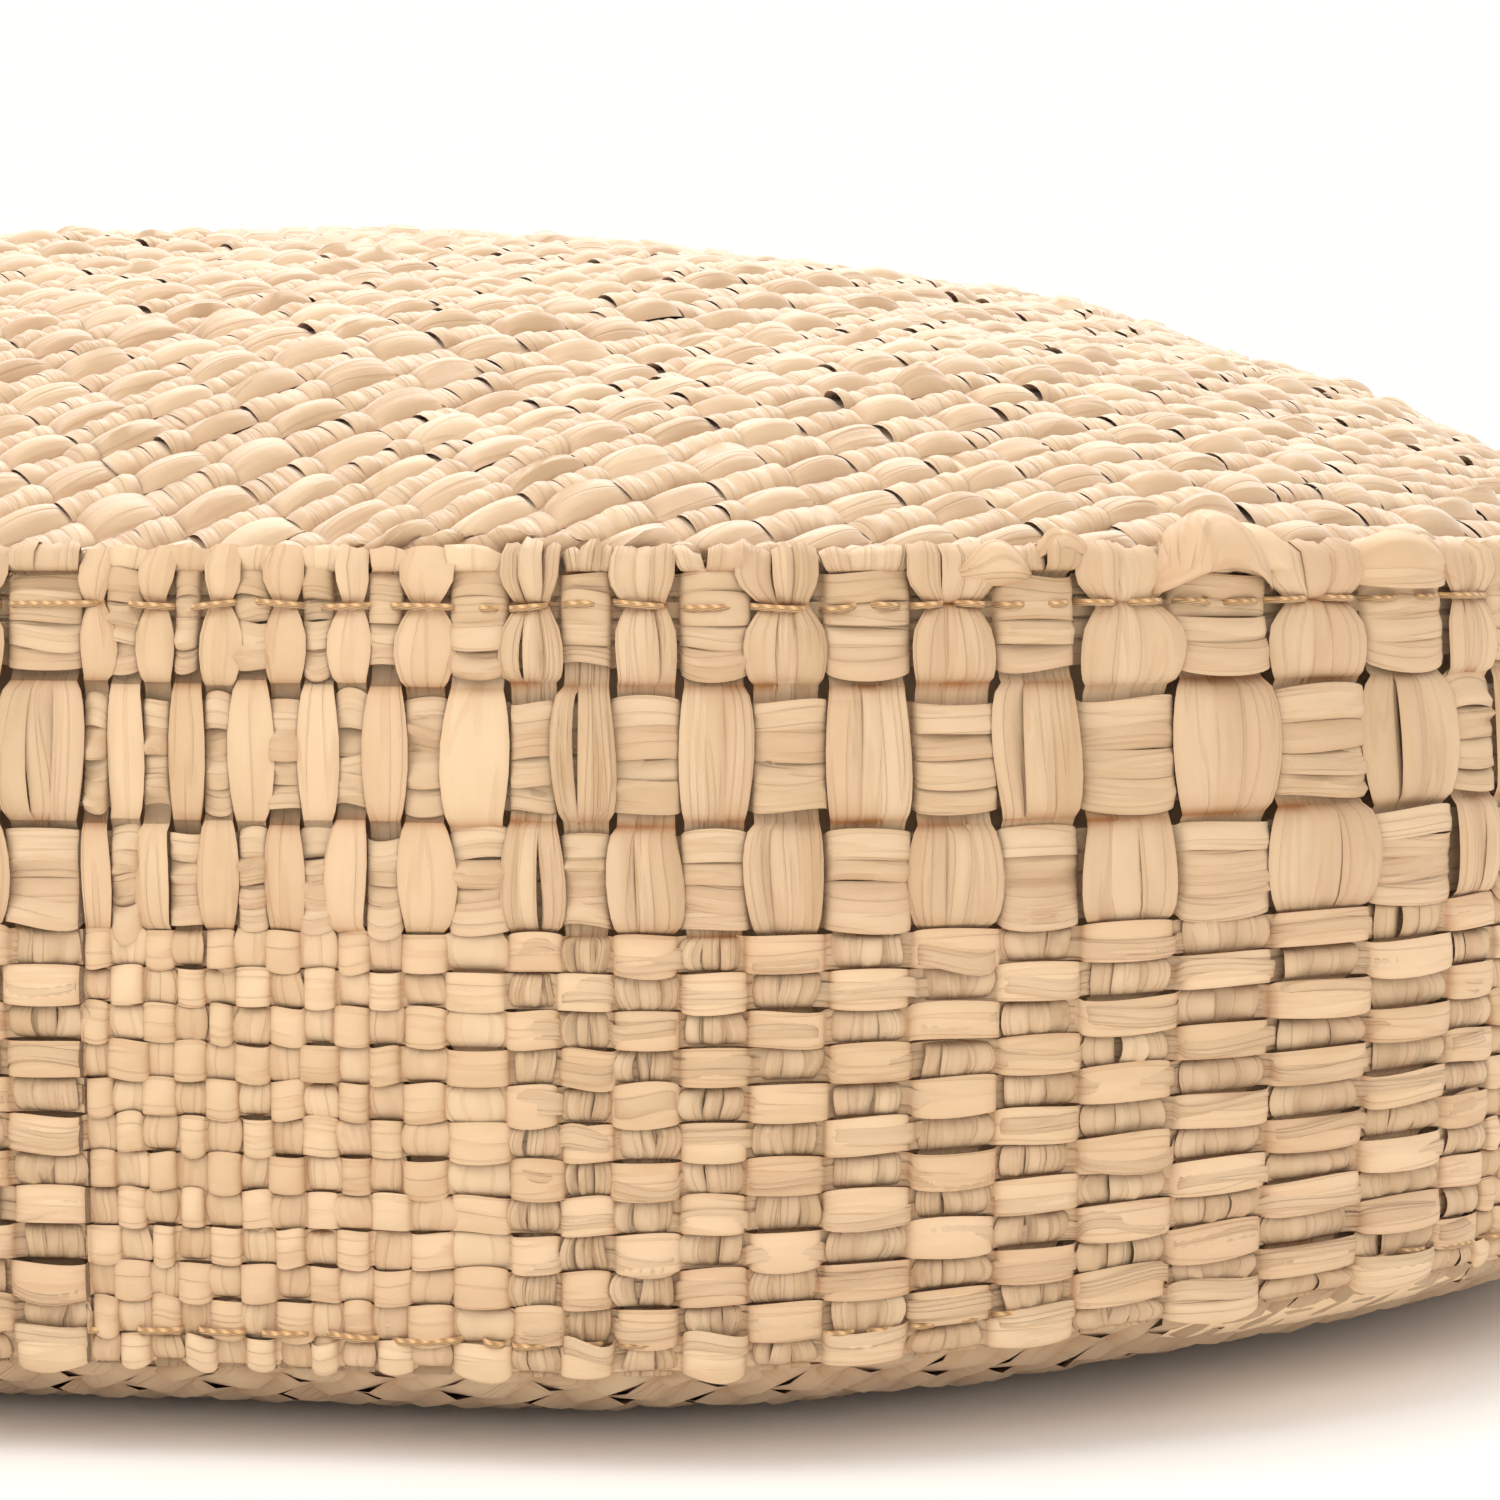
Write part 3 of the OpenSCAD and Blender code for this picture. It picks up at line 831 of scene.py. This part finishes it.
top_stitch, foot_stitch = (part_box(node)[0][2] * 0.5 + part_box(node)[1][2] * 0.5
                           for node in ("top_seam_thread", "bottom_seam_thread"))
leg = 0.0060
upright_bias = 0.00045
top_waist = 0.28
foot_waist = 0.10
waist_reach = 0.0016
zone_blend = 0.001
upright_sway = 0.00018
over_fold = 0.7
fold_length = math.pi * fold_radius
upright_edges = np.concatenate([
    [foot_start - fold_length - leg], fine_edges[::-1],
    [(row_low[1] + row_high[2]) / 2, (row_low[0] + row_high[1]) / 2, top_stitch, row_high[0],
     fold_start + 0.9 * fold_length, fold_start + fold_length + leg]])
upright_sign = np.concatenate([[0], fine_sign[::-1], wide_sign[::-1], [1, 0, 0]])
slim_up_look = {"gather": 0.09, "points": 6, "flat": 0.4, "belly": 0.0003, "shingle": 0.0,
                "tilt": 0.00022, "fold": 0.00022, "step": 0.0001, "pinch": 0.3, "vary": 0.07,
                "wander": 0.00022, "overlap": 1.26, "lift": 0.0009, "curl": 0.0002, "leaf": 0.8,
                "narrow": 0.0, "shallow": 0.35}
broad_up_look = {"gather": 0.08, "points": 5, "flat": 0.4, "belly": 0.0004, "shingle": 0.0,
                 "tilt": 0.0003, "fold": 0.0003, "step": 0.0002, "pinch": 0.2, "vary": 0.1,
                 "wander": 0.0003, "overlap": 1.24, "lift": 0.001, "curl": 0.0001, "leaf": 0.6,
                 "narrow": 0.15, "shallow": 0.0}


def uprights(rng, chosen, strips, look, fine, coarse):
    """Upright strands for the chosen columns, each through every row from leg to leg. Those that lie over
    the top row go on over the fold in one piece. Each seam thread draws them in to a waist."""
    owner = np.repeat(np.nonzero(chosen)[0], strips)
    strip = np.tile(np.arange(strips) - (strips - 1) / 2, chosen.sum())
    width = column_width[owner] / strips
    over = column_over[owner][:, None] * upright_sign[None, :]
    over[:, 0] = 0.0
    over[:, -1] = 0.0
    over[:, -2] = over_fold
    shift = np.clip(rng.normal(size=(column_count, len(upright_edges))), -2, 2) * upright_sway
    shift[:, :1] = 0.0
    shift[:, -4:] = 0.0
    edges = (upright_edges + shift[owner]).copy()
    edges[:, -3] = np.where(column_over[owner] > 0, fold_start + 0.8 * fold_length, edges[:, -3])
    samples = np.where(is_near[owner], fine, coarse)[:, None] + 0 * over.astype(int)
    shape = strands(rng, edges, over, np.ones(over.shape, bool), samples,
                    -column_middle[owner], strip * width, width * look["overlap"],
                    look["lift"] * (1 - look["shallow"] * (upright_edges[1:] <= fine_edges[0]))
                    + 0 * over, look)
    draw_in = sum(pull * np.exp(-(((shape["along"] - stitch) / waist_reach) ** 2))
                  for stitch, pull in ((top_stitch, top_waist), (foot_stitch, foot_waist)))
    low = 0.5 - 0.5 * np.tanh((shape["along"] - fine_edges[0]) / zone_blend)
    squeeze = (1 - draw_in) * (1 - look["narrow"] * low)
    shape["across"] = shape["middle"] + (shape["across"] - shape["middle"]) * squeeze
    return shape


repeat_place = np.arange(column_count) % len(near_columns)
slim_uprights = uprights(band_rng, repeat_place < fine_columns, 1, slim_up_look, 7, 4)
broad_uprights = uprights(band_rng, repeat_place >= fine_columns, 3, broad_up_look, 8, 3)


def upright_strands(along, across, height):
    """Uprights ride proud of the wide rows, which they bridge, and lie deep between the slim ones."""
    proud = upright_bias * np.tanh((along - fine_edges[0]) / zone_blend)
    return band_place(-across, along, height + proud)


plaited("band_slim_uprights", "band_fine_uprights", slim_uprights, upright_strands, upright_raffia,
        band_rng, 1, band_height)
plaited("band_broad_uprights", "band_coarse_uprights", broad_uprights, upright_strands, broad_raffia,
        band_rng, 2, band_height)
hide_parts("top_hem")
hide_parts("bottom_hem")


# ------------------------
# Seam threads. A running stitch of twisted flax thread near each edge of the band goes in and out
# through the band, which it holds to the panel's rim. The uprights are drawn in at its level.
# ------------------------

thread_gold = (0.66, 0.42, 0.20, 1)
thread_dark = (0.38, 0.20, 0.08, 1)
thread = Finish("flax thread", roughness=0.6, specular=0.3, sheen=0.2)
axes = thread.node("SeparateXYZ", "X", Vector=thread.node("UVMap", 0, {"uv_map": "strand"}))
around = Wire(thread.tree, axes.socket.node.outputs["Y"])
twist = thread.node("TexWave", "Fac", {"bands_direction": "X"}, Scale=1.0, Vector=thread.node(
    "CombineXYZ", 0, X=axes * 260.0 + around * 0.63))
thread.feed(Base_Color=thread.mix(twist, thread_dark, thread_gold))
thread.bump(twist, 0.00012)

stitch_share = 0.8
thread_radius = 0.00036
thread_sides = 6
stitch_samples = 12
widest_stitch = 0.0078
stitch_sway = 0.00025
thread_sink = 0.0002
thread_dip = 0.0016


def stitch_holes():
    """Holes of the running stitch: at the middles of hidden slim uprights, at both sides of broad ones,
    and one more in the middle of the broadest."""
    slim_holes = column_middle[~is_broad & (column_over < 0)]
    broad_holes = columns[:-1][is_broad]
    extra_holes = column_middle[is_broad & (column_width > widest_stitch)]
    return np.sort(np.concatenate([slim_holes, broad_holes, extra_holes]))


def stitching(name, level, proud, rng):
    """A running stitch as one closed cord: out of the band for most of each stitch, and in for the rest."""
    holes = stitch_holes()
    stitches = len(holes)
    length = np.diff(np.r_[holes, holes[0] + girth])
    number = np.repeat(np.arange(stitches), stitch_samples)
    part = np.tile(np.arange(stitch_samples) / stitch_samples, stitches)
    run = holes[number] + length[number] * part
    out_part = np.clip(part / stitch_share, 0, 1)
    in_part = np.clip((part - stitch_share) / (1 - stitch_share), 0, 1)
    bow = np.where(part < stitch_share, np.sin(math.pi * out_part) ** 0.4 * proud,
                   -thread_dip * np.sin(math.pi * in_part) ** 0.5)
    sway = rng.normal(0, stitch_sway, size=stitches)
    centre = level + sway[number] * (1 - part) + np.roll(sway, -1)[number] * part
    ring = np.arange(thread_sides) * 2 * math.pi / thread_sides
    rise = centre[:, None] + thread_radius * np.sin(ring)
    out = (bow - thread_sink)[:, None] + thread_radius * np.cos(ring)
    points = band_place(run[:, None] + 0 * rise, rise, out).reshape(-1, 3)
    index = np.arange(len(run))[:, None] * thread_sides
    ahead = np.roll(index, -1, axis=0)
    k = np.arange(thread_sides)
    k_next = (k + 1) % thread_sides
    corners = np.stack([index + k, index + k_next, ahead + k_next, ahead + k], -1).ravel()
    uv = np.stack([run[:, None] + 0 * rise, 0 * rise + k / thread_sides], -1).reshape(-1, 2)
    return mesh_piece(name, points, corners, np.arange(0, len(corners), 4), thread.material, uv)


for name, node, level, proud in (("top_running_stitch", "top_seam_thread", top_stitch, 0.0019),
                                 ("foot_running_stitch", "bottom_seam_thread", foot_stitch, 0.0013)):
    seam = stitching(name, level, proud, band_rng)
    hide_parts(node)
    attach(seam, "root")


# ------------------------
# Loose leaves. Here and there a crumpled leaf has slipped out of the hem and lies along the fold.
# Its middle lifts off the band, and its two ends dip back into the weave, which holds them.
# ------------------------

loose_rng = np.random.default_rng(77)
# Each row is one leaf: its start round the band, length, level, bow, lift and width.
slipped = np.array([[0.2150, 0.0145, 0.0838, 0.0036, 0.0034, 0.0040],
                    [0.2205, 0.0120, 0.0846, 0.0018, 0.0026, 0.0028],
                    [0.2385, 0.0150, 0.0850, 0.0004, 0.0026, 0.0046],
                    [0.2030, 0.0065, 0.0864, 0.0010, 0.0022, 0.0024],
                    [0.1945, 0.0085, 0.0843, 0.0003, 0.0018, 0.0022]])
spare = 16
loose_samples = 18
loose_reach = 0.03
spare_low = [0.27, 0.007, 0.0840, 0.0002, 0.0018, 0.0022]
spare_high = [girth + 0.08, 0.014, 0.0858, 0.0025, 0.0030, 0.0042]
slipped = np.concatenate([slipped, loose_rng.uniform(spare_low, spare_high, size=(spare, 6))])
loose_look = dict(broad_up_look, gather=0.06, points=9, flat=0.55, fold=0.00055, tilt=0.0006, pinch=0.45,
                  belly=0.0006)
start, length, level, bow, lift, leaf_width = slipped.T
one = np.ones((len(slipped), 1))
loose = strands(loose_rng, np.stack([start, start + length], -1), one, one > 0,
                (loose_samples * one).astype(int), level, 0 * level, leaf_width, lift[:, None], loose_look)
leaf = np.cumsum(loose["first"]) - 1
way = (loose["along"][:, 0] - start[leaf]) / length[leaf]
loose["across"] += (bow[leaf] * np.sin(math.pi * way))[:, None]
middle = loose_look["points"] // 2
spine = band_place(*(loose[key][:, middle] for key in ("along", "across", "height")))
stretch = np.linalg.norm(np.diff(spine, axis=0, prepend=spine[:1]), axis=-1)
loose["covered"] = np.where(loose["first"], 0, stretch) * leaf_width[leaf]
plaited("slipped_leaves", "top_hem", loose, band_place, upright_raffia, loose_rng, 1, loose_reach)


# ------------------------
# Floor, light and camera. A pale sheet under the pad, a large soft light from the upper left, a
# bright surround, and a long lens close to the front right corner.
# ------------------------

scene = bpy.context.scene
scene.view_settings.view_transform = "Standard"
floor_white = (1.0, 0.985, 0.965, 1)
floor_finish = Finish("pale floor", roughness=0.8, specular=0.1)
floor_finish.shader.inputs["Base Color"].default_value = floor_white
floor_half = 3.0
floor_corners = np.array([[-1, -1, 0], [1, -1, 0], [1, 1, 0], [-1, 1, 0]]) * floor_half
floor = mesh_piece("floor", floor_corners, np.arange(4), np.array([0]), floor_finish.material)

world = bpy.data.worlds.new("bright surround")
world.use_nodes = True
world.node_tree.nodes["Background"].inputs["Color"].default_value = (1.0, 0.985, 0.965, 1)
world.node_tree.nodes["Background"].inputs["Strength"].default_value = 1.03
scene.world = world


def area_light(name, place, aim, size, power, tint):
    """A square soft light at a place, turned to face a point."""
    lamp = bpy.data.lights.new(name, "AREA")
    lamp.size = size
    lamp.energy = power
    lamp.color = tint
    light = bpy.data.objects.new(name, lamp)
    light.location = place
    light.rotation_euler = (Vector(aim) - Vector(place)).to_track_quat("-Z", "Y").to_euler()
    scene.collection.objects.link(light)


seam_corner = (0.10, -0.18, 0.06)
area_light("front fill", (0.45, -1.5, 0.72), seam_corner, 1.2, 6.6, (1.0, 0.98, 0.96))
area_light("key", (-0.55, -0.55, 0.95), seam_corner, 0.7, 5.0, (1.0, 0.97, 0.93))
area_light("top fill", (0.05, 0.55, 1.0), (0, 0, 0.1), 0.9, 11.5, (1.0, 0.98, 0.96))

lens_camera = bpy.data.cameras.new("camera")
lens_camera.lens = 88.6
lens_camera.sensor_width = 36.0
lens_camera.clip_start = 0.01
camera = bpy.data.objects.new("camera", lens_camera)
camera.location = (0.1432, -0.5350, 0.0922)
camera_turn = math.radians(7.3)
camera_tilt = math.radians(3.96)
camera.rotation_euler = (math.pi / 2 - camera_tilt, 0, camera_turn)
scene.collection.objects.link(camera)
scene.camera = camera
